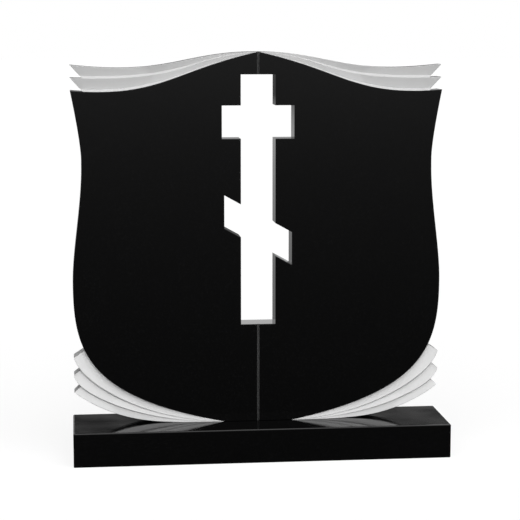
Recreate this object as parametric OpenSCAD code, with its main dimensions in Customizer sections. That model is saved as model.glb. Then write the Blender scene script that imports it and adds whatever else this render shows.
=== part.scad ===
// Headstone: a book-shaped slab with a see-through cross, standing on a low plinth.
// Millimetres, +Z up, front towards -Y. Origin: middle of the plinth's underside.

/* [Plinth] */
// Width of the plinth, left to right
plinth_w = 1103; // [1090:1:1300]
// Depth of the plinth, front to back
plinth_d = 250; // [240:5:320]
// Height of the plinth
plinth_h = 100; // [60:5:200]
// Radius of the plinth's top and upright edges
plinth_round = 4; // [3:0.5:14]
// Radius of the plinth's edges at the ground
plinth_arris = 2; // [1:0.5:6]

/* [Slab] */
// Width across the slab's corners and its widest curve
slab_w = 1080; // [1060:5:1090]
// Height from the plinth's top to the top edge at the middle
slab_h = 1085; // [1080:5:1100]
// Thickness of the slab at its polished face
slab_t = 77; // [60:1:90]
// Bare ledge of the plinth in front of the slab
front_ledge = 108; // [60:1:120]
// How far the slab stands to the right of the plinth's middle
slab_x = -6.5; // [-10:0.5:10]
// Width of the slab at its waist
waist_w = 1022; // [1000:1:1040]
// Height of the waist above the plinth's top
waist_z = 757; // [740:1:775]
// Height of the widest curve above the plinth's top
bulge_z = 415; // [400:1:430]
// Width of the polished foot that stands on the plinth
foot_w = 200; // [180:5:220]
// Width of all the pages where they stand on the plinth
page_foot_w = 440; // [420:5:460]

/* [Pages] */
// How far the pages next to the polished face lie behind it
page_recess = 15; // [10:1:32]
// How much deeper each further page lies
page_step = 1; // [0.5:0.5:5]
// Height of the topmost corner of the upper pages
upper_tip_z = 1048; // [1040:1:1055]
// Drop from each upper corner to the next
upper_drop = 36.5; // [34:0.5:40]
// How far each notch between the upper corners goes in
upper_notch = 36; // [24:1:44]
// Height of the highest corner of the lower pages
lower_tip_z = 198; // [190:1:204]
// Drop from each lower corner to the next
lower_drop = 52.5; // [50:0.5:54]
// Slope of the cut end of the highest lower page
lower_cut = 33; // [28:1:38]
// How much steeper each next page's end is cut
lower_turn = 5; // [0:1:6]

/* [Cross] */
// Width of the upright of the cross
upright_w = 101; // [80:1:120]
// Height of the foot of the cross above the plinth's top
cross_bottom = 290.5; // [270:0.5:310]
// Height of the head of the cross above the plinth's top
cross_top = 1020; // [1000:1:1030]
// Length of the level bar
bar_w = 211; // [180:1:260]
// Height of the level bar's lower edge above the plinth's top
bar_z = 835; // [800:1:850]
// Thickness of the level bar
bar_t = 96; // [70:1:110]
// Length of the slanted bar, measured level
slant_w = 198; // [160:2:240]
// Slope of the slanted bar, down towards the right
slant_angle = 29; // [10:1:40]
// Height of the slanted bar's middle above the plinth's top
slant_z = 568; // [500:1:600]
// Thickness of the slanted bar, measured upright
slant_t = 96; // [70:1:110]

/* [Gutter] */
// Width of the groove down the middle of the book
gutter_w = 6.5; // [4:0.5:12]
// Depth of the groove down the middle of the book
gutter_d = 5; // [2:0.5:8]

/* [Hidden] */
// Straight pieces in each curved stretch of an outline
curve_steps = 20;
// Straight pieces in each rounded corner of the plinth
corner_steps = 6;
// How far a cutting tool runs past the stone
past = 10;
// How far a cut page end runs on under the next page
page_run = 36;
// How far an upper notch dips into the page below it
notch_dip = 3;
slab_y = front_ledge - plinth_d / 2;
half_w = slab_w / 2;
black = [0.05, 0.05, 0.055];

// The pulls of each curve: where its direction points as it leaves and as it arrives
first_pull = [[214, 0], [-290, -32]];
second_pull = [[230, -15], [-364, -12]];
face_pull = [[248, -54], [-258, -21]];
shoulder_pull = [[-33, -169], [0, 20]];
hip_pull = [[0, -113], [0, 97]];
low_pull = [[0, -193], [407, 81]];
lower_pulls = [[[-15, -64], [257, 6]], [[4, -38], [292, 0]], [[-118, -88], [98, 0]]];

// A curve between two points, led by its two pulls, as a list of points
function curve(from, to, pull) =
    [for (i = [0:curve_steps]) let (t = i / curve_steps, u = 1 - t)
        u * u * u * from + 3 * u * u * t * (from + pull[0])
        + 3 * u * t * t * (to + pull[1]) + t * t * t * to];

// A quarter turn round a centre, starting at the given angle
function quarter(centre, r, start) =
    [for (i = [0:corner_steps]) let (turn = start + 90 * i / corner_steps)
        centre + r * [cos(turn), sin(turn)]];

// A rectangle whose lower and upper corners have their own radii, centred on x
function rounded_box(w, h, r_low, r_high) = concat(
    quarter([w / 2 - r_low, r_low], r_low, -90),
    quarter([w / 2 - r_high, h - r_high], r_high, 0),
    quarter([r_high - w / 2, h - r_high], r_high, 90),
    quarter([r_low - w / 2, r_low], r_low, 180));

// The whole of an outline whose right half runs from the top middle to the bottom middle
function both(right) = concat(right,
    [for (i = [len(right) - 1:-1:0]) if (right[i].x > 0) [-right[i].x, right[i].y]]);

// The right half of the slab: the points where its curves meet
top_mid = [0, slab_h];
waist = [waist_w / 2, waist_z];
bulge = [half_w, bulge_z];
foot_end = [foot_w / 2, 0];
page_foot_end = [page_foot_w / 2, 0];
lower_foots = [foot_end, foot_end, page_foot_end];
function upper_tip(i) = [half_w, upper_tip_z - i * upper_drop];
function lower_tip(i) = [half_w, lower_tip_z - i * lower_drop];

// Stands an outline up and gives it its thickness, from a depth behind the face to the back
module stand(outline, depth) {
    translate([0, slab_y + slab_t, 0]) rotate([90, 0, 0])
        linear_extrude(height = slab_t - depth) polygon(outline);
}

module polished_face() {
    stand(both(concat(
        curve(top_mid, upper_tip(2), face_pull),
        curve(upper_tip(2), waist, shoulder_pull),
        curve(waist, bulge, hip_pull),
        curve(bulge, foot_end, low_pull),
        [[0, 0]])), 0);
}

// An upper page runs along its edge to a sharp corner and is cut back below it
module upper_page(i, pull) {
    notch = upper_tip(i + 1) - [upper_notch, notch_dip];
    stand(both(concat(curve(top_mid, upper_tip(i), pull), [notch, [0, waist_z]])),
        page_recess + (1 - i) * page_step);
}

// A lower page is cut off square at its end and runs down its edge to the foot
module lower_page(i) {
    cut_end = lower_tip(i) + page_run * [-1, tan(lower_cut + i * lower_turn)];
    stand(both(concat([[0, waist_z], cut_end],
        curve(lower_tip(i), lower_foots[i], lower_pulls[i]), [[0, 0]])),
        page_recess + i * page_step);
}

// An upright square opening, right through the slab
module opening(z, w, h) {
    translate([-w / 2, slab_y - past, z]) cube([w, slab_t + 2 * past, h]);
}

module slanted_opening() {
    side = slant_w / 2;
    drop = side * tan(slant_angle);
    rise = slant_t / 2;
    translate([0, slab_y + slab_t + past, slant_z]) rotate([90, 0, 0])
        linear_extrude(height = slab_t + 2 * past)
        polygon([[-side, drop - rise], [side, -drop - rise], [side, rise - drop], [-side, drop + rise]]);
}

module cross_opening() {
    opening(cross_bottom, upright_w, cross_top - cross_bottom);
    opening(bar_z, bar_w, bar_t);
    slanted_opening();
}

module gutter() {
    side = gutter_w / 2;
    translate([0, slab_y, -past]) linear_extrude(height = slab_h + 2 * past)
        polygon([[-side, -past], [side, -past], [side, 0], [0, gutter_d], [-side, 0]]);
}

module book_slab() {
    color(black) translate([slab_x, 0, plinth_h]) difference() {
        union() {
            polished_face();
            upper_page(0, first_pull);
            upper_page(1, second_pull);
            for (i = [0:2]) lower_page(i);
        }
        cross_opening();
        gutter();
    }
}

module plinth() {
    color(black) intersection() {
        translate([0, plinth_d / 2, 0]) rotate([90, 0, 0]) linear_extrude(height = plinth_d)
            polygon(rounded_box(plinth_w, plinth_h, plinth_arris, plinth_round));
        translate([-plinth_w / 2, 0, 0]) rotate([90, 0, 90]) linear_extrude(height = plinth_w)
            polygon(rounded_box(plinth_d, plinth_h, plinth_arris, plinth_round));
        translate([0, -plinth_d / 2, 0]) linear_extrude(height = plinth_h)
            polygon(rounded_box(plinth_w, plinth_d, plinth_round, plinth_round));
    }
}

book_slab();
plinth();
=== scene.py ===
import math

import bmesh
import bpy
from bpy.props import FloatProperty, FloatVectorProperty, IntProperty, PointerProperty
from bpy.types import Operator, Panel, PropertyGroup
from mathutils import Matrix, Vector


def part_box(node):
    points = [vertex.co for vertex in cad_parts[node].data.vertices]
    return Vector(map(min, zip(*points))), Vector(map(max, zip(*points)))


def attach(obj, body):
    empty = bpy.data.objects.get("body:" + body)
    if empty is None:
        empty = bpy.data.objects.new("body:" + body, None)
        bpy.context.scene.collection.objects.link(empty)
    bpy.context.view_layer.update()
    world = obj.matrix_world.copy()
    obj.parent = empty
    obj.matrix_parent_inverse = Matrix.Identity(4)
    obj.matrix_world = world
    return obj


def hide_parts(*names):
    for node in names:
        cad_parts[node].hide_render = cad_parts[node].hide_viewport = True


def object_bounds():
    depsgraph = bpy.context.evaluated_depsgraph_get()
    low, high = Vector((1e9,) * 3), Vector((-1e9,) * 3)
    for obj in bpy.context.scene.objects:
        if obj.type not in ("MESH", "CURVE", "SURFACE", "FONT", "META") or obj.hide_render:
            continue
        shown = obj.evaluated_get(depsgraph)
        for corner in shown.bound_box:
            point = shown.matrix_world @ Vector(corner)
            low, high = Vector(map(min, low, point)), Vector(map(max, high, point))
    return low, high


bl_info = {
    "name": "Book Headstone",
    "version": (1, 0, 0),
    "blender": (4, 5, 0),
    "location": "3D View > Sidebar > Headstone",
    "description": "Makes a book-shaped headstone with a see-through cross, its plinth and a plain stage",
    "category": "Add Mesh",
}

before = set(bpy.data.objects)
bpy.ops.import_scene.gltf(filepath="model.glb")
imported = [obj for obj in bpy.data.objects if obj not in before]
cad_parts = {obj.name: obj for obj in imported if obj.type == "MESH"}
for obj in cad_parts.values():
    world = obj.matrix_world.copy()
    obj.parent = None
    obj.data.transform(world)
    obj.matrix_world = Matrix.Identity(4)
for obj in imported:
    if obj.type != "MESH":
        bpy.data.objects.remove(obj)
CAD_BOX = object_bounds()
SLAB_LOW, SLAB_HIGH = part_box("book_slab")
PLINTH_LOW, PLINTH_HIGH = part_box("plinth")

# The slab's finishes, in the order of its materials; the two page tones, the groove and the cut ends differ
# by painted shade and light
POLISHED, UPPER_PAGE, LOWER_PAGE, GROOVE, CUT_END = range(5)
RIGHT, LEFT = 1, -1
# Two places nearer than this are one
TOUCH = 1e-6
# An outline that turns less than this at a place is straight there
STRAIGHT = 1e-3
# How often the stretch that holds a crossing is halved
HALVINGS = 40
# Edges that turn more than this stay sharp
SHARP_ANGLE = math.radians(30)


# ---------------------------------------------------------------- sizes and colours

def length(name, description, default):
    """A length in metres, shown in the scene's own unit."""
    return FloatProperty(name=name, description=description, default=default, min=0.0, unit="LENGTH")


def angle(name, description, degrees):
    """An angle, written in degrees."""
    return FloatProperty(name=name, description=description, default=math.radians(degrees), unit="ROTATION")


def colour(name, description, grey):
    """A grey, given as one number or as red, green and blue."""
    value = (grey, grey, grey) if isinstance(grey, float) else grey
    return FloatVectorProperty(name=name, description=description, default=value, size=3,
                               min=0.0, max=1.0, subtype="COLOR")


def level(name, description, default):
    """A plain number, such as a strength or a share."""
    return FloatProperty(name=name, description=description, default=default)


class SlabSizes(PropertyGroup):
    """The outline of the slab, the groove and the eased edges."""
    waist_width: length("Waist Width", "Width of the slab at its waist", 1.022)
    waist_height: length("Waist Height", "Height of the waist above the slab's foot", 0.757)
    bulge_height: length("Bulge Height", "Height of the widest curve above the slab's foot", 0.415)
    foot_width: length("Foot Width", "Width of the polished foot", 0.2)
    page_foot_width: length("Page Foot Width", "Width of all the pages at the foot", 0.44)
    groove_width: length("Groove Width", "Width of the groove down the middle", 0.0065)
    groove_depth: length("Groove Depth", "Depth of the groove down the middle", 0.005)
    arris: length("Arris", "Width of the eased edges", 0.001)
    steps: IntProperty(name="Steps", description="Straight pieces along a page", default=64, min=24)


class PageSizes(PropertyGroup):
    """The leaves of the book, above and below the polished face."""
    upper_tip: length("Upper Tip", "Height of the topmost corner", 1.048)
    upper_drop: length("Upper Drop", "Drop from each upper corner to the next", 0.0365)
    upper_notch: length("Upper Notch", "How far each upper notch goes in", 0.036)
    notch_dip: length("Notch Dip", "How far an upper notch dips into the next page", 0.003)
    lower_tip: length("Lower Tip", "Height of the highest lower corner", 0.198)
    lower_drop: length("Lower Drop", "Drop from each lower corner to the next", 0.0525)
    lower_cut: angle("Lower Cut", "Slope of the cut end of the highest lower page", 33)
    lower_turn: angle("Lower Turn", "How much steeper each next page's end is cut", 5)
    recess: length("Recess", "Depth of the wall behind the polished face", 0.015)
    upper_wall: length("Upper Wall Run", "How far the wall above the polished face slopes out", 0.006)
    lower_wall: length("Lower Wall Run", "How far the wall below the polished face slopes out", 0.005)
    upper_run: length("Upper Step Run", "How far the step between the upper pages slopes out", 0.0055)
    lower_run: length("Lower Step Run", "How far a step between lower pages slopes out", 0.0055)
    step: length("Step", "Depth of a step from page to page", 0.0085)
    tilt: angle("Tilt", "How far each page leans forward towards its outer edge", 11)


class CrossSizes(PropertyGroup):
    """The see-through cross."""
    upright: length("Upright", "Width of the upright", 0.101)
    bottom: length("Bottom", "Height of the foot of the cross above the slab's foot", 0.2905)
    top: length("Top", "Height of the head of the cross above the slab's foot", 1.02)
    bar_width: length("Bar Width", "Length of the level bar", 0.211)
    bar_height: length("Bar Height", "Height of the level bar's lower edge", 0.835)
    bar_thickness: length("Bar Thickness", "Thickness of the level bar", 0.096)
    slant_width: length("Slant Width", "Length of the slanted bar, measured level", 0.198)
    slant_angle: angle("Slant Angle", "Slope of the slanted bar, down towards the right", 29)
    slant_height: length("Slant Height", "Height of the slanted bar's middle", 0.568)
    slant_thickness: length("Slant Thickness", "Thickness of the slanted bar, measured upright", 0.096)


class PlinthSizes(PropertyGroup):
    """The rounded edges of the plinth."""
    rounding: length("Rounding", "Radius of the top and upright edges", 0.004)
    arris: length("Arris", "Radius of the edges at the ground", 0.002)
    steps: IntProperty(name="Steps", description="Straight pieces in each rounded edge", default=8, min=2)


class StoneLooks(PropertyGroup):
    """The finishes of the stone, with painted shade and light in the tones of the pages, their cut ends and
    the groove.
    """
    black: colour("Black", "Colour of the polished stone", (0.0003, 0.0003, 0.00035))
    fleck: colour("Fleck", "Colour of the grains in the polished stone", (0.003, 0.003, 0.0032))
    # Painted shade and light: the upper and lower pages are one honed stone, painted darker on the upper
    # pages, which face a little down, and paler on the lower ones, which face a little up
    upper: colour("Upper Pages", "Colour of the honed upper pages", 0.53)
    lower: colour("Lower Pages", "Colour of the honed lower pages", 0.68)
    # Painted shade: the pages' cut ends are the same honed stone, painted darker for the shade they stand
    # in
    ends: colour("Page Ends", "Colour of the honed ends of the pages", 0.36)
    # Painted shade: the groove is honed stone, painted dark for the shade inside its narrow cut
    groove: colour("Groove", "Colour of the rubbed groove", 0.05)
    polish: level("Polish", "Roughness of the polished slab", 0.05)
    plinth_polish: level("Plinth Polish", "Roughness of the polished plinth", 0.09)
    ior: level("Mirror", "Index of refraction of the polish", 1.25)
    grain: length("Grain", "Size of the mineral grains", 0.0022)


class StageLooks(PropertyGroup):
    """The camera, the lamp and the floor."""
    azimuth: angle("Camera Azimuth", "How far the camera stands round to the right", -6.28)
    elevation: angle("Camera Elevation", "How far the camera looks down", 7.9)
    distance: length("Camera Distance", "From the camera to the point it looks at", 4.954)
    lens: FloatProperty(name="Lens", description="Focal length", default=116.9, unit="CAMERA")
    key: level("Key Light", "Strength of the key light", 3.9)
    key_azimuth: angle("Key Azimuth", "How far the key light stands round to the right", 5)
    key_elevation: angle("Key Elevation", "Height of the key light", 38)
    key_size: angle("Key Size", "Width of the key light in the sky", 100)
    room: level("Room Light", "Strength of the soft light from all round", 0.08)
    floor: colour("Floor", "Colour of the floor", 0.3)
    floor_reach: length("Floor Reach", "From the middle of the floor to its rim", 60.0)


GROUPS = {
    "headstone_slab": SlabSizes,
    "headstone_pages": PageSizes,
    "headstone_cross": CrossSizes,
    "headstone_plinth": PlinthSizes,
    "headstone_stone": StoneLooks,
    "headstone_stage": StageLooks,
}


# ---------------------------------------------------------------- curves

def bezier(start, end, leave, arrive):
    """A curve between two places, led by its two pulls: a function of t from 0 to 1."""
    second = start + Vector(leave)
    third = end + Vector(arrive)

    def at(t):
        u = 1 - t
        return u ** 3 * start + 3 * u * u * t * second + 3 * u * t * t * third + t ** 3 * end
    return at


def trace(curve, first, last, count):
    """Places along a curve, both ends included."""
    return [curve(first + (last - first) * i / count) for i in range(count + 1)]


def line(start, end, count):
    """Places along a straight line, both ends included."""
    return [start.lerp(end, i / count) for i in range(count + 1)]


def crossing(curve, first, last, through, along):
    """Where a curve crosses a line, found by halving the stretch that holds it."""
    across = Vector((-along.y, along.x))
    side = (curve(first) - through).dot(across) > 0
    for _ in range(HALVINGS):
        middle = (first + last) / 2
        if ((curve(middle) - through).dot(across) > 0) == side:
            first = middle
        else:
            last = middle
    return (first + last) / 2


def right_hand(direction):
    """The unit direction square to this one, on its right as seen from the front."""
    return Vector((direction.y, -direction.x)).normalized()


def inset(places, widths):
    """A closed outline moved to its right-hand side, each edge by its own width.

    A place along a straight edge keeps its share of that edge.
    """
    count = len(places)
    moved = {}
    for i, place in enumerate(places):
        before = right_hand(place - places[i - 1])
        after = right_hand(places[(i + 1) % count] - place)
        turn = before.x * after.y - before.y * after.x
        if abs(turn) > STRAIGHT:
            w0, w1 = widths[i - 1], widths[i]
            shift = Vector((w0 * after.y - w1 * before.y, w1 * before.x - w0 * after.x)) / turn
            moved[i] = place + shift
    corners = sorted(moved)
    for first, last in zip(corners, corners[1:] + [corners[0] + count]):
        start, end = places[first], places[last % count]
        for i in range(first + 1, last):
            share = (places[i % count] - start).length / (end - start).length
            moved[i % count] = moved[first].lerp(moved[last % count], share)
    return [moved[i] for i in range(count)]


# ---------------------------------------------------------------- the slab

# Where a page is narrower than this, its wall and its lean fade away
FULL_WIDTH = 0.028
# The most of a page's width that its eased edge may take
EASE_SHARE = 0.1
# Straight pieces where a page's edge runs free beyond the next page's cut end
FREE_STEPS = 5
# Straight pieces in the shoulder, the hip and the top of the belly
SIDE_STEPS = 28
# One in this many of the last lower page's pieces lies along the foot
LEVEL_SHARE = 6
# The stretches of the curves, as shares of t, where the cut ends may meet them
TOP_STRETCH = (0.7, 1)
BELLY_STRETCH = (0, 0.7)
LOWER_STRETCH = (0, 0.6)


class Shell:
    """The points and faces of one closed solid.

    A place is (across, up), and a depth runs back from the face. The points round the pages' cut ends
    are kept in cut_ends.
    """

    def __init__(self, middle, front, foot):
        self.middle, self.front, self.foot = middle, front, foot
        self.points, self.faces, self.finishes = [], [], []
        self.cut_ends = set()

    def point(self, side, place, depth):
        self.points.append((self.middle + side * place.x, self.front + depth, self.foot + place.y))
        return len(self.points) - 1

    def row(self, side, places, depth):
        return [self.point(side, place, depth) for place in places]

    def place(self, index, side=RIGHT):
        x, _, z = self.points[index]
        return Vector((side * (x - self.middle), z - self.foot))

    def depth(self, index):
        return self.points[index][1] - self.front

    def face(self, corners, finish):
        kept = [c for i, c in enumerate(corners) if c != corners[i - 1]]
        if len(kept) > 2:
            self.faces.append(kept)
            self.finishes.append(finish)

    def strip(self, row, other, finish):
        for i in range(len(row) - 1):
            self.face([row[i], row[i + 1], other[i + 1], other[i]], finish)

    def mesh(self, name):
        mesh = bpy.data.meshes.new(name)
        mesh.from_pydata(self.points, [], self.faces)
        for polygon, finish in zip(mesh.polygons, self.finishes):
            polygon.material_index = finish
        work = bmesh.new()
        work.from_mesh(mesh)
        bmesh.ops.recalc_face_normals(work, faces=work.faces)
        open_edges = sum(1 for edge in work.edges if len(edge.link_faces) != 2)
        work.to_mesh(mesh)
        work.free()
        if open_edges:
            raise RuntimeError(f"{name} has {open_edges} open edges")
        return mesh


class Outline:
    """The places and curves of one half of the slab, in metres from the middle of its foot."""

    def __init__(self, scene):
        slab, pages = scene.headstone_slab, scene.headstone_pages
        half = (SLAB_HIGH.x - SLAB_LOW.x) / 2
        height = SLAB_HIGH.z - SLAB_LOW.z
        self.edge = slab.groove_width / 2
        top = Vector((0, height))
        waist = Vector((slab.waist_width / 2, slab.waist_height))
        bulge = Vector((half, slab.bulge_height))
        self.foot = Vector((slab.foot_width / 2, 0))
        self.page_foot = Vector((slab.page_foot_width / 2, 0))
        self.upper_tips = [Vector((half, pages.upper_tip - i * pages.upper_drop)) for i in range(3)]
        self.lower_tips = [Vector((half, pages.lower_tip - i * pages.lower_drop)) for i in range(3)]
        self.upper = [
            bezier(top, self.upper_tips[0], (0.214, 0), (-0.290, -0.032)),
            bezier(top, self.upper_tips[1], (0.230, -0.015), (-0.364, -0.012)),
            bezier(top, self.upper_tips[2], (0.248, -0.054), (-0.258, -0.021)),
        ]
        self.shoulder = bezier(self.upper_tips[2], waist, (-0.033, -0.169), (0, 0.020))
        self.hip = bezier(waist, bulge, (0, -0.113), (0, 0.097))
        self.belly = bezier(bulge, self.foot, (0, -0.193), (0.407, 0.081))
        self.lower = [
            bezier(self.lower_tips[0], self.foot, (-0.015, -0.064), (0.257, 0.006)),
            bezier(self.lower_tips[1], self.foot, (0.004, -0.038), (0.292, 0)),
            bezier(self.lower_tips[2], self.page_foot, (-0.118, -0.088), (0.098, 0)),
        ]
        self.upper_cuts = [
            self.upper_tips[i + 1] - Vector((pages.upper_notch, pages.notch_dip)) - self.upper_tips[i]
            for i in range(2)
        ]
        self.lower_cuts = [
            Vector((-1, math.tan(pages.lower_cut + i * pages.lower_turn))) for i in range(3)
        ]

    def start(self):
        """Where the groove meets the top edge."""
        at = crossing(self.upper[0], 0, 0.5, Vector((self.edge, 0)), Vector((0, 1)))
        return self.upper[0](at)


def cross_edge(cross, edge, side):
    """The edge of the cross on one side of the groove, from its foot up to its head."""
    post, bar = cross.upright / 2, cross.bar_width / 2
    arm = cross.slant_width / 2
    slope = -side * math.tan(cross.slant_angle)
    low = cross.slant_height - cross.slant_thickness / 2
    high = cross.slant_height + cross.slant_thickness / 2
    bar_top = cross.bar_height + cross.bar_thickness
    corners = [
        (edge, cross.bottom), (post, cross.bottom),
        (post, low + slope * post), (arm, low + slope * arm),
        (arm, high + slope * arm), (post, high + slope * post),
        (post, cross.bar_height), (bar, cross.bar_height), (bar, bar_top), (post, bar_top),
        (post, cross.top), (edge, cross.top),
    ]
    return [Vector(corner) for corner in corners]


def add_page(shell, side, inner, outer, run, fall, tilt, arris, finish):
    """A page: a sloped wall down from the inner row, then a face that leans out to its outer edge.

    The wall and the lean fade where the page narrows, so both run out to nothing together. Returns the
    page's outer row, and the points of its two ends between the inner row and the outer one.
    """
    bases, lips, edges = [], [], []
    for i, (start, end) in enumerate(zip(inner, outer)):
        place = shell.place(start, side)
        reach = end - place
        width = reach.length
        if width < TOUCH:
            bases.append(start)
            lips.append(start)
            edges.append(start)
            continue
        before = shell.place(inner[max(i - 1, 0)], side)
        after = shell.place(inner[min(i + 1, len(inner) - 1)], side)
        square = abs(reach.normalized().dot(right_hand(after - before)))
        narrow = min(width * square / FULL_WIDTH, 1)
        wall = run / square * narrow ** 2
        base_depth = shell.depth(start) + fall * narrow ** 2
        ease = min(arris / square, EASE_SHARE * width)
        lip_depth = base_depth - math.tan(tilt) * (width - wall) * square * narrow
        bases.append(shell.point(side, place + reach * wall / width, base_depth))
        lips.append(shell.point(side, end - reach * ease / width, lip_depth))
        edges.append(shell.point(side, end, lip_depth + ease))
    shell.strip(inner, bases, finish)
    shell.strip(bases, lips, finish)
    shell.strip(lips, edges, finish)
    return edges, (bases[0], lips[0]), (bases[-1], lips[-1])


def add_upper_pages(shell, side, shape, face_row, pages, steps, arris):
    """The two pages over the polished face. Returns the outline from the groove to the face's corner."""
    start = shape.start()
    second_notch = crossing(shape.upper[1], *TOP_STRETCH, shape.upper_tips[0], shape.upper_cuts[0])
    second = ([start] + trace(shape.upper[1], 0, second_notch, steps)[1:]
              + trace(shape.upper[1], second_notch, 1, FREE_STEPS)[1:])
    first = [start] + trace(shape.upper[0], 0, 1, steps)[1:]
    lower_row, _, lower_end = add_page(shell, side, face_row[:steps + FREE_STEPS + 1], second,
                                       pages.upper_wall, pages.recess, pages.tilt, arris, UPPER_PAGE)
    upper_row, _, upper_end = add_page(shell, side, lower_row[:steps + 1], first,
                                       pages.upper_run, pages.step, pages.tilt, arris, UPPER_PAGE)
    shell.cut_ends.update((upper_row[-1], *upper_end, lower_row[steps]))
    shell.cut_ends.update((lower_row[-1], *lower_end, face_row[steps + FREE_STEPS]))
    return (upper_row + list(reversed(upper_end)) + lower_row[steps:]
            + list(reversed(lower_end)) + face_row[steps + FREE_STEPS:])


def add_lower_pages(shell, side, shape, face_row, pages, steps, arris):
    """The three pages under the polished face. Returns the outline from the first notch to the foot."""
    outline = []
    row = face_row
    for i in range(3):
        free = FREE_STEPS if i < 2 else 0
        left = len(row) - 1 - free
        if i < 2:
            notch = crossing(shape.lower[i], *LOWER_STRETCH, shape.lower_tips[i + 1],
                             shape.lower_cuts[i + 1])
            outer = trace(shape.lower[i], 0, notch, free) + trace(shape.lower[i], notch, 1, left)[1:]
        else:
            level_steps = left // LEVEL_SHARE
            outer = (trace(shape.lower[2], 0, 1, left - level_steps)
                     + line(shape.page_foot, shape.foot, level_steps)[1:])
        run, fall = (pages.lower_run, pages.step) if i else (pages.lower_wall, pages.recess)
        edge, first_end, _ = add_page(shell, side, row, outer, run, fall, pages.tilt, arris, LOWER_PAGE)
        shell.cut_ends.update((row[0], *first_end, edge[0]))
        outline += [row[0]] + list(first_end) + edge[:free or None]
        row = edge[free:]
    return outline


def add_front_half(shell, side, scene):
    """One half of the front: the polished face and its pages.

    Returns the outline from the groove round to the foot, and the edge of the cross.
    """
    slab, pages = scene.headstone_slab, scene.headstone_pages
    shape, steps, arris = Outline(scene), slab.steps, slab.arris
    start = shape.start()
    notch = crossing(shape.upper[2], *TOP_STRETCH, shape.upper_tips[1], shape.upper_cuts[1])
    low_notch = crossing(shape.belly, *BELLY_STRETCH, shape.lower_tips[0], shape.lower_cuts[0])
    top = ([start] + trace(shape.upper[2], 0, notch, steps + FREE_STEPS)[1:]
           + trace(shape.upper[2], notch, 1, FREE_STEPS)[1:])
    flank = (trace(shape.shoulder, 0, 1, SIDE_STEPS)[1:] + trace(shape.hip, 0, 1, SIDE_STEPS)[1:]
             + trace(shape.belly, 0, low_notch, SIDE_STEPS)[1:])
    under = trace(shape.belly, low_notch, 1, steps)[1:]
    top_row = shell.row(side, top, arris)
    flank_row = shell.row(side, flank, arris)
    under_row = shell.row(side, under, arris)
    foot_edge = shell.point(side, Vector((shape.edge, 0)), arris)
    cross = cross_edge(scene.headstone_cross, shape.edge, side)
    cross_row = shell.row(side, cross, arris)

    rim = top_row + flank_row + under_row + [foot_edge] + cross_row
    widths = [arris] * len(rim)
    widths[len(rim) - len(cross_row) - 1] = 0
    widths[-1] = 0
    face = shell.row(side, inset([shell.place(i, side) for i in rim], widths), 0)
    shell.face(face, POLISHED)
    for i, corner in enumerate(rim):
        if widths[i]:
            after = (i + 1) % len(rim)
            shell.face([corner, rim[after], face[after], face[i]], POLISHED)

    outline = add_upper_pages(shell, side, shape, top_row, pages, steps, arris)
    outline += flank_row[:-1]
    outline += add_lower_pages(shell, side, shape, flank_row[-1:] + under_row, pages, steps, arris)
    outline.append(foot_edge)
    groove_low = [foot_edge, face[len(rim) - len(cross_row) - 1], face[-len(cross_row)], cross_row[0]]
    groove_high = [cross_row[-1], face[-1], face[0], top_row[0]]
    return outline, cross_row, groove_low, groove_high


def add_groove(shell, right, left, depth, edge):
    """A stretch of the groove between two rows of points. Returns the points across its two ends."""
    across = (0.5, 0, -0.5)
    columns = []
    for share in across:
        column = []
        for index in right:
            place = shell.place(index)
            place.x = share * edge
            sunk = depth * (1 - abs(share)) + shell.depth(index) * abs(share)
            column.append(shell.point(RIGHT, place, sunk))
        columns.append(column)
    rows = [right] + columns + [left]
    for one, other in zip(rows, rows[1:]):
        shell.strip(one, other, GROOVE)
    return [column[0] for column in columns], [column[-1] for column in columns]


def add_walls(shell, loop, back_depth, arris):
    """The wall from a closed front row to the back, with an eased edge. Returns the back face's row.

    The wall is polished but at the pages' cut ends.
    """
    places = [shell.place(i) for i in loop]
    back = shell.row(RIGHT, places, back_depth - arris)
    rim = shell.row(RIGHT, inset(places, [arris] * len(places)), back_depth)
    front_row, back_row = loop + loop[:1], back + back[:1]
    for i in range(len(loop)):
        pair = front_row[i:i + 2]
        finish = CUT_END if shell.cut_ends.issuperset(pair) else POLISHED
        shell.strip(pair, back_row[i:i + 2], finish)
    shell.strip(back_row, rim + rim[:1], POLISHED)
    return rim


def build_slab(scene):
    """The whole slab as one closed mesh, face to back."""
    slab = scene.headstone_slab
    shell = Shell((SLAB_LOW.x + SLAB_HIGH.x) / 2, SLAB_LOW.y, SLAB_LOW.z)
    thickness = SLAB_HIGH.y - SLAB_LOW.y
    edge = slab.groove_width / 2
    outline_r, cross_r, low_r, high_r = add_front_half(shell, RIGHT, scene)
    outline_l, cross_l, low_l, high_l = add_front_half(shell, LEFT, scene)
    foot_mid, cross_foot = add_groove(shell, low_r, low_l, slab.groove_depth, edge)
    cross_head, top_mid = add_groove(shell, high_r, high_l, slab.groove_depth, edge)

    outline = (top_mid[1::-1] + outline_r + foot_mid + outline_l[::-1] + top_mid[:1:-1])
    rim = add_walls(shell, outline, thickness, slab.arris)
    hole = (cross_foot[1::-1] + cross_r + cross_head + cross_l[::-1] + cross_foot[:1:-1])
    hole_rim = add_walls(shell, hole, thickness, slab.arris)
    low_middle = outline.index(foot_mid[1])
    high_middle = hole.index(cross_head[1])
    shell.face(rim[:low_middle + 1] + hole_rim[:high_middle + 1], POLISHED)
    shell.face(rim[low_middle:] + rim[:1] + hole_rim[high_middle:] + hole_rim[:1], POLISHED)
    return shell.mesh("book_slab_carved")


def add_piece(name, mesh, materials, node):
    """Puts a finished mesh in the scene in place of its CAD node."""
    for material in materials:
        mesh.materials.append(material)
    piece = bpy.data.objects.new(name, mesh)
    bpy.context.scene.collection.objects.link(piece)
    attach(piece, "root")
    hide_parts(node)
    return piece


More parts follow.
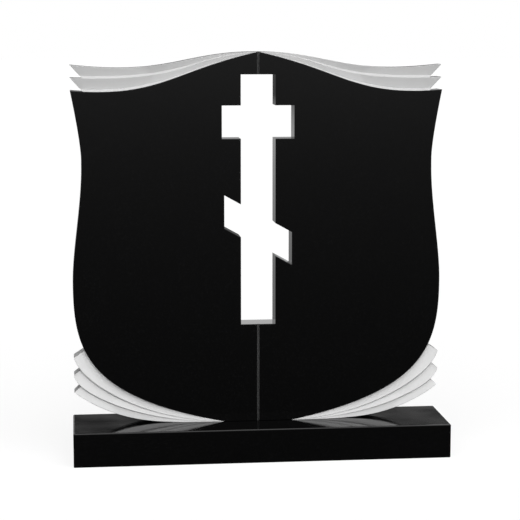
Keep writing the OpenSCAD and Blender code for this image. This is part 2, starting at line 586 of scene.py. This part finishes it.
def smooth(mesh):
    """Smooth shading everywhere but over sharp edges."""
    mesh.shade_smooth()
    mesh.set_sharp_from_angle(angle=SHARP_ANGLE)


# ---------------------------------------------------------------- the plinth

def build_plinth(sizes):
    """A block with round top and upright edges and a small arris at the ground."""
    mesh = bpy.data.meshes.new("plinth_block")
    work = bmesh.new()
    extent = PLINTH_HIGH - PLINTH_LOW
    place = Matrix.Translation((PLINTH_LOW + PLINTH_HIGH) / 2) @ Matrix.Diagonal((*extent, 1))
    bmesh.ops.create_cube(work, size=1, matrix=place)

    def lies_low(item):
        return all(vert.co.z < PLINTH_LOW.z + TOUCH for vert in item.verts)

    rounded = [edge for edge in work.edges if not lies_low(edge)]
    bmesh.ops.bevel(work, geom=rounded, offset=sizes.rounding, segments=sizes.steps, profile=0.5,
                    affect="EDGES")
    ground = [edge for edge in work.edges if lies_low(edge)]
    bmesh.ops.bevel(work, geom=ground, offset=sizes.arris, segments=2, profile=0.5, affect="EDGES")
    work.to_mesh(mesh)
    work.free()
    mesh.shade_smooth()
    return mesh


# ---------------------------------------------------------------- materials

class Nodes:
    """A short way to write a node tree."""

    def __init__(self, tree):
        self.tree = tree
        tree.nodes.clear()

    def add(self, kind, settings=None, **inputs):
        """A node of this kind. An input is a number, a colour or another node's output."""
        node = self.tree.nodes.new(kind)
        for key, value in (settings or {}).items():
            setattr(node, key, value)
        for key, value in inputs.items():
            socket = node.inputs[int(key[1:])] if key[0] == "n" and key[1:].isdigit() else node.inputs[key]
            if isinstance(value, bpy.types.NodeSocket):
                self.tree.links.new(value, socket)
            else:
                socket.default_value = value
        return node

    def math(self, operation, first, second=0.0):
        return self.add("ShaderNodeMath", {"operation": operation}, n0=first, n1=second).outputs[0]

    def between(self, share, low, high):
        """A colour between two others."""
        node = self.add("ShaderNodeMix", {"data_type": "RGBA"}, n0=share)
        for socket, value in ((node.inputs[6], low), (node.inputs[7], high)):
            if isinstance(value, bpy.types.NodeSocket):
                self.tree.links.new(value, socket)
            else:
                socket.default_value = (*value, 1)
        return node.outputs[2]

    def spread(self, value, low, high, to_low=0.0, to_high=1.0):
        """A value moved from one range to another and held inside it."""
        node = self.add("ShaderNodeMapRange", None, n0=value, n1=low, n2=high, n3=to_low, n4=to_high)
        return node.outputs[0]

    def noise(self, place, scale, detail):
        return self.add("ShaderNodeTexNoise", None, Vector=place, Scale=scale, Detail=detail).outputs[0]

    def stone(self, base, rough, ior, strength, height):
        """The surface of a stone, with bumps of this strength that follow a height."""
        bump = self.add("ShaderNodeBump", None, Strength=strength, Distance=BUMP_DEPTH, Height=height)
        shader = self.add("ShaderNodeBsdfPrincipled", None, Roughness=rough, IOR=ior,
                          Normal=bump.outputs[0])
        self.tree.links.new(base, shader.inputs["Base Color"])
        self.add("ShaderNodeOutputMaterial", None, Surface=shader.outputs[0])


def new_material(name):
    material = bpy.data.materials.new(name)
    material.use_nodes = True
    return material, Nodes(material.node_tree)


# Noise values lie mostly between these
NOISE_RANGE = (0.3, 0.7)
# Depth of the bumps in every finish
BUMP_DEPTH = 0.0002
# Polished stone: the share of dark grains, the clouds and how far they thin the pale grains out,
# how far the shine varies, and the waves, in grains, with their strength
DARK_SHARE = 0.8
CLOUD_SCALE, CLOUD_DETAIL = 9.0, 3.0
CLOUD_EDGE, THINNED = (0.35, 0.65), (0.5, 1.0)
SHINE_LOW, SHINE_HIGH = 0.8, 1.25
WAVE_GRAINS, WAVE_STRENGTH = 3, 0.02
# Honed stone: the grains, the clouds and the share of each in the tone, the roughness, the polish left
# on the grains and how far they stand out
HONED_GRAIN, HONED_GRAIN_DETAIL = 700.0, 2.0
HONED_CLOUD, HONED_CLOUD_DETAIL = 14.0, 4.0
SPECKLE_SHARE, DRIFT_SHARE = 0.6, 0.4
HONED_ROUGH = (0.62, 0.8)
HONED_IOR = 1.3
HONED_BUMP = 0.25
# How far the tone of the pages and of the groove varies
PAGE_VARIES = 0.04
GROOVE_VARIES = 0.3
# Where the grain is taken from, so that the two stones differ
SLAB_SEED, PLINTH_SEED = 0.0, 3.0


def polished_stone(name, looks, polish, seed):
    """Black stone, polished: fine dark grains, a few paler ones, and a slightly uneven shine."""
    material, nodes = new_material(name)
    place = nodes.add("ShaderNodeTexCoord").outputs["Object"]
    moved = nodes.add("ShaderNodeVectorMath", {"operation": "ADD"}, n0=place, n1=(seed,) * 3).outputs[0]
    cells = nodes.add("ShaderNodeTexVoronoi", None, Vector=moved, Scale=1 / looks.grain)
    cell_value = nodes.add("ShaderNodeSeparateColor", None, n0=cells.outputs["Color"]).outputs[0]
    flecks = nodes.spread(cell_value, DARK_SHARE, 1.0)
    clouds = nodes.noise(moved, CLOUD_SCALE, CLOUD_DETAIL)
    mottle = nodes.math("MULTIPLY", flecks, nodes.spread(clouds, *CLOUD_EDGE, *THINNED))
    base = nodes.between(mottle, looks.black, looks.fleck)
    shine = nodes.spread(clouds, *NOISE_RANGE, polish * SHINE_LOW, polish * SHINE_HIGH)
    waves = nodes.noise(moved, 1 / (WAVE_GRAINS * looks.grain), 2.0)
    nodes.stone(base, shine, looks.ior, WAVE_STRENGTH, waves)
    return material


def honed_stone(name, tone, varies):
    """Stone rubbed flat: pale bruised grains and soft clouds, which vary its tone a little."""
    material, nodes = new_material(name)
    place = nodes.add("ShaderNodeTexCoord").outputs["Object"]
    grains = nodes.noise(place, HONED_GRAIN, HONED_GRAIN_DETAIL)
    clouds = nodes.noise(place, HONED_CLOUD, HONED_CLOUD_DETAIL)
    speckle = nodes.math("MULTIPLY", nodes.spread(grains, *NOISE_RANGE), SPECKLE_SHARE)
    drift = nodes.math("MULTIPLY", nodes.spread(clouds, *NOISE_RANGE), DRIFT_SHARE)
    dark = tuple(channel * (1 - varies) for channel in tone)
    light = tuple(min(channel * (1 + varies), 1) for channel in tone)
    base = nodes.between(nodes.math("ADD", speckle, drift), dark, light)
    rough = nodes.spread(grains, *NOISE_RANGE, *HONED_ROUGH)
    nodes.stone(base, rough, HONED_IOR, HONED_BUMP, grains)
    return material


# ---------------------------------------------------------------- the stage

# What the camera sees of the floor: a plain white, and a little that the stone's shadow can darken
FLOOR_WHITE = 0.8
FLOOR_SHADE = 0.25
# What mirrors see of the floor, a glow with painted shade: how dark it is painted at the stone, how far off
# it clears, and where it darkens again behind
FLOOR_PAINTED_SHADE = 0.83
FLOOR_CLEAR = 19.0
FLOOR_END = (15.0, 26.0)
# What mirrors see behind the stone: a band that pales upwards from a dark horizon, and the dim room over it
BAND_LOW, BAND_HIGH = 0.12, 1.3
BAND_RISE = (0.03, 0.165)
BAND_EDGE = (0.192, 0.216)
ROOM_LEFT, ROOM_RIGHT = 0.03, 0.055
# Where the white in front of the stone gives way to what lies behind it
FRONT_EDGE = (-0.4, 0.0)
# The wide soft light overhead, as mirrors see it: the heights where it begins and is full, and its strength
GLOW_EDGE = (0.35, 0.8)
ROOM_GLOW = 5.0
FLOOR_SIDES = 96
LAMP_DISTANCE = 5
SENSOR_WIDTH = 36
VIEW_END = 500
# From the middle of the whole to the point the camera looks at
AIM_SHIFT = Vector((0.0005, 0, -0.0145))


def floor_material(looks):
    """A floor that the camera sees white, with the stone's shadow.

    In mirrors it glows, painted dark near the stone as shade; it clears further off and darkens again far
    behind.
    """
    material, nodes = new_material("floor")
    ray = nodes.add("ShaderNodeLightPath").outputs
    seen = nodes.math("MAXIMUM", ray["Is Camera Ray"], ray["Is Transmission Ray"])
    matt = nodes.add("ShaderNodeBsdfDiffuse", None, Color=(*looks.floor, 1)).outputs[0]
    shaded = nodes.add("ShaderNodeBsdfDiffuse", None, Color=(FLOOR_SHADE,) * 3 + (1,)).outputs[0]
    lit = nodes.add("ShaderNodeEmission", None, Strength=FLOOR_WHITE).outputs[0]
    white = nodes.add("ShaderNodeAddShader", None, n0=shaded, n1=lit).outputs[0]
    plain = nodes.add("ShaderNodeMixShader", None, n0=seen, n1=matt, n2=white).outputs[0]
    place = nodes.add("ShaderNodeTexCoord").outputs["Object"]
    away = nodes.add("ShaderNodeVectorMath", {"operation": "LENGTH"}, n0=place).outputs["Value"]
    # Painted shade: the floor's glow in mirrors is darkest at the stone and clears with distance
    cleared = nodes.math("EXPONENT", nodes.math("DIVIDE", away, -FLOOR_CLEAR))
    pale = nodes.math("SUBTRACT", 1.0, nodes.math("MULTIPLY", cleared, FLOOR_PAINTED_SHADE))
    back = nodes.add("ShaderNodeSeparateXYZ", None, n0=place).outputs["Y"]
    mirrored = nodes.math("MULTIPLY", pale, nodes.spread(back, *FLOOR_END, 1.0, BAND_LOW))
    glow = nodes.add("ShaderNodeEmission", None, Strength=mirrored).outputs[0]
    both = nodes.add("ShaderNodeMixShader", None, n0=ray["Is Glossy Ray"], n1=plain, n2=glow)
    nodes.add("ShaderNodeOutputMaterial", None, Surface=both.outputs[0])
    return material


def make_world(looks):
    """Plain white for the camera, and a soft light on the stone.

    Mirrors see white in front. Behind, they see a band that pales upwards from a dark horizon, with a
    dim room over it. They see a wide soft light overhead as well.
    """
    world = bpy.data.worlds.new("studio")
    bpy.context.scene.world = world
    world.use_nodes = True
    nodes = Nodes(world.node_tree)
    ray = nodes.add("ShaderNodeLightPath").outputs
    seen = nodes.math("MAXIMUM", ray["Is Camera Ray"], ray["Is Transmission Ray"])
    direction = nodes.add("ShaderNodeTexCoord").outputs["Generated"]
    parts = nodes.add("ShaderNodeSeparateXYZ", None, n0=direction).outputs
    dim = nodes.spread(parts["X"], 0.0, 0.2, ROOM_LEFT, ROOM_RIGHT)
    band = nodes.spread(parts["Z"], *BAND_RISE, BAND_LOW, BAND_HIGH)
    behind = nodes.between(nodes.spread(parts["Z"], *BAND_EDGE), band, dim)
    around = nodes.between(nodes.spread(parts["Y"], *FRONT_EDGE), (1, 1, 1), behind)
    over = nodes.spread(parts["Z"], *GLOW_EDGE, 0.0, ROOM_GLOW)
    mirrored = nodes.add("ShaderNodeVectorMath", {"operation": "ADD"}, n0=around, n1=over).outputs[0]
    soft = nodes.between(ray["Is Glossy Ray"], (looks.room,) * 3, mirrored)
    shown = nodes.between(seen, soft, (1, 1, 1))
    back = nodes.add("ShaderNodeBackground", None, Color=shown, Strength=1.0).outputs[0]
    nodes.add("ShaderNodeOutputWorld", None, Surface=back)


def make_floor(looks):
    """A wide round floor, far enough to meet the horizon."""
    mesh = bpy.data.meshes.new("floor")
    work = bmesh.new()
    bmesh.ops.create_circle(work, cap_ends=True, radius=looks.floor_reach, segments=FLOOR_SIDES)
    work.to_mesh(mesh)
    work.free()
    mesh.materials.append(floor_material(looks))
    floor = bpy.data.objects.new("floor", mesh)
    bpy.context.scene.collection.objects.link(floor)


def towards(azimuth, elevation):
    """The direction of a point at this azimuth, round to the right from the front, and elevation."""
    level_part = math.cos(elevation)
    return Vector((math.sin(azimuth) * level_part, -math.cos(azimuth) * level_part, math.sin(elevation)))


def make_lamp(looks):
    """One wide soft sun from the front and above. It stays out of the polished stone's mirror."""
    lamp = bpy.data.lights.new("key", "SUN")
    lamp.energy = looks.key
    lamp.angle = looks.key_size
    piece = bpy.data.objects.new("key", lamp)
    bpy.context.scene.collection.objects.link(piece)
    direction = towards(looks.key_azimuth, looks.key_elevation)
    piece.rotation_euler = direction.to_track_quat("Z", "Y").to_euler()
    piece.location = direction * LAMP_DISTANCE
    piece.visible_glossy = False


def make_camera(looks):
    """The camera, a little to the left of the stone and above its middle."""
    camera = bpy.data.cameras.new("camera")
    camera.lens = looks.lens
    camera.sensor_width = SENSOR_WIDTH
    camera.clip_end = VIEW_END
    piece = bpy.data.objects.new("camera", camera)
    bpy.context.scene.collection.objects.link(piece)
    low, high = CAD_BOX
    aim = (low + high) / 2 + AIM_SHIFT
    direction = towards(looks.azimuth, looks.elevation)
    piece.location = aim + direction * looks.distance
    piece.rotation_euler = direction.to_track_quat("Z", "Y").to_euler()
    bpy.context.scene.camera = piece


# ---------------------------------------------------------------- operators

class HEADSTONE_OT_stage(Operator):
    """Makes the camera, the lamp, the background and the floor"""
    bl_idname = "headstone.stage"
    bl_label = "Stage"

    def execute(self, context):
        looks = context.scene.headstone_stage
        context.scene.view_settings.view_transform = "Standard"
        make_world(looks)
        make_floor(looks)
        make_lamp(looks)
        make_camera(looks)
        return {"FINISHED"}


class HEADSTONE_OT_slab(Operator):
    """Makes the book-shaped slab with its pages and its cross"""
    bl_idname = "headstone.slab"
    bl_label = "Book Slab"

    def execute(self, context):
        scene = context.scene
        looks = scene.headstone_stone
        mesh = build_slab(scene)
        smooth(mesh)
        materials = [
            polished_stone("polished_black", looks, looks.polish, SLAB_SEED),
            # One honed stone for all pages: painted shade on the upper pages, painted light on the lower
            # ones
            honed_stone("honed_upper_pages_painted_shade", looks.upper, PAGE_VARIES),
            honed_stone("honed_lower_pages_painted_light", looks.lower, PAGE_VARIES),
            # The groove: honed stone with painted shade
            honed_stone("honed_groove_painted_shade", looks.groove, GROOVE_VARIES),
            # The cut ends: the pages' honed stone with painted shade
            honed_stone("honed_page_ends_painted_shade", looks.ends, PAGE_VARIES),
        ]
        add_piece("book_slab_carved", mesh, materials, "book_slab")
        return {"FINISHED"}


class HEADSTONE_OT_plinth(Operator):
    """Makes the low plinth that the slab stands on"""
    bl_idname = "headstone.plinth"
    bl_label = "Plinth"

    def execute(self, context):
        scene = context.scene
        looks = scene.headstone_stone
        mesh = build_plinth(scene.headstone_plinth)
        materials = [polished_stone("plinth_black", looks, looks.plinth_polish, PLINTH_SEED)]
        piece = add_piece("plinth_block", mesh, materials, "plinth")
        piece.modifiers.new("flat_faces", "WEIGHTED_NORMAL")
        return {"FINISHED"}


class HEADSTONE_PT_sidebar(Panel):
    """The headstone's sizes, colours and parts"""
    bl_label = "Headstone"
    bl_space_type = "VIEW_3D"
    bl_region_type = "UI"
    bl_category = "Headstone"

    def draw(self, context):
        for operator in OPERATORS:
            self.layout.operator(operator.bl_idname)
        for name, group in GROUPS.items():
            box = self.layout.box()
            box.label(text=group.__doc__)
            for prop in group.__annotations__:
                box.prop(getattr(context.scene, name), prop)


OPERATORS = (HEADSTONE_OT_stage, HEADSTONE_OT_slab, HEADSTONE_OT_plinth)
CLASSES = (*GROUPS.values(), *OPERATORS, HEADSTONE_PT_sidebar)


def register():
    for item in CLASSES:
        bpy.utils.register_class(item)
    for name, group in GROUPS.items():
        setattr(bpy.types.Scene, name, PointerProperty(type=group))


def unregister():
    for name in GROUPS:
        delattr(bpy.types.Scene, name)
    for item in reversed(CLASSES):
        bpy.utils.unregister_class(item)


def main():
    register()
    bpy.ops.headstone.stage()
    bpy.ops.headstone.slab()
    bpy.ops.headstone.plinth()


if __name__ == "__main__":
    main()
